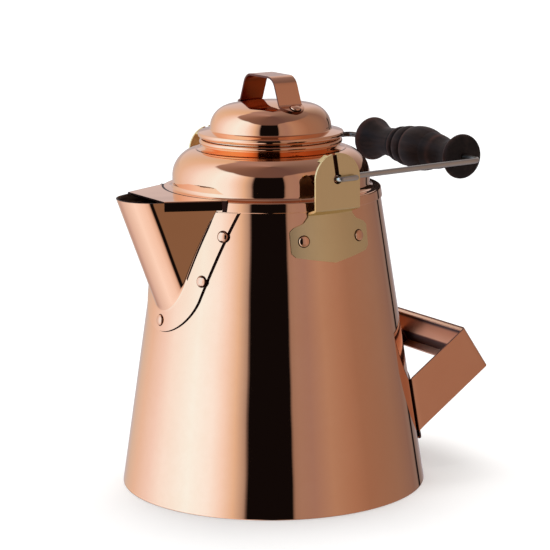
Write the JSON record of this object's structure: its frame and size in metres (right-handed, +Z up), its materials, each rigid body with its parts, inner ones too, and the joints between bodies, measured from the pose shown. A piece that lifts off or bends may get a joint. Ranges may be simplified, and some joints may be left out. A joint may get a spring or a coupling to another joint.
{
  "type": "stove kettle",
  "caption": "Copper stove kettle with a riveted pitcher spout, lift-off domed lid, strap handle at the back and a wire bail with a turned wooden grip.",
  "frame": {"origin": "centre of the base's underside, where the kettle rests", "axes": "+Z up, the spout points towards -X and the strap handle towards +X, and the bail's pivots lie on a line along Y"},
  "size_m": [0.2396, 0.19, 0.2552],
  "materials": {
    "copper": "polished",
    "copper_rivet": "polished",
    "brass": "satin",
    "steel_wire": "satin",
    "dark_wood": "oiled"
  },
  "bodies": {
    "kettle": {"body_wall": "copper", "base_plate": "copper", "shoulder_cover": "copper", "neck_collar": "copper", "spout_shell": "copper", "spout_cover": "copper", "rear_handle": "copper", "left_ear": "brass", "right_ear": "brass", "spout_rivets": "copper_rivet", "spout_burrs": "copper_rivet", "rear_handle_rivets": "copper_rivet", "rear_handle_burrs": "copper_rivet", "left_ear_rivets": "copper_rivet", "left_ear_burrs": "copper_rivet", "right_ear_rivets": "copper_rivet", "right_ear_burrs": "copper_rivet"},
    "lid": {"lid_shell": "copper", "lid_plug_ring": "copper", "lid_knob": "copper", "lid_knob_rivets": "copper_rivet", "lid_knob_burrs": "copper_rivet"},
    "bail": {"bail_wire": "steel_wire"},
    "grip": {"wood_grip": "dark_wood"}
  },
  "joints": [
    {"name": "lid_lift", "type": "slide", "parent": "kettle", "child": "lid", "axis": [0, 0, 1], "range_m": [0, 0.045]},
    {"name": "bail_swing", "type": "hinge", "parent": "kettle", "child": "bail", "pos_m": [0, 0, 0.2], "axis": [0, -1, 0], "range_deg": [-31, 103]},
    {"name": "grip_spin", "type": "hinge", "parent": "bail", "child": "grip", "pos_m": [0.10598, -0.00415, 0.20194], "axis": [0, 1, 0], "continuous": true}
  ]
}
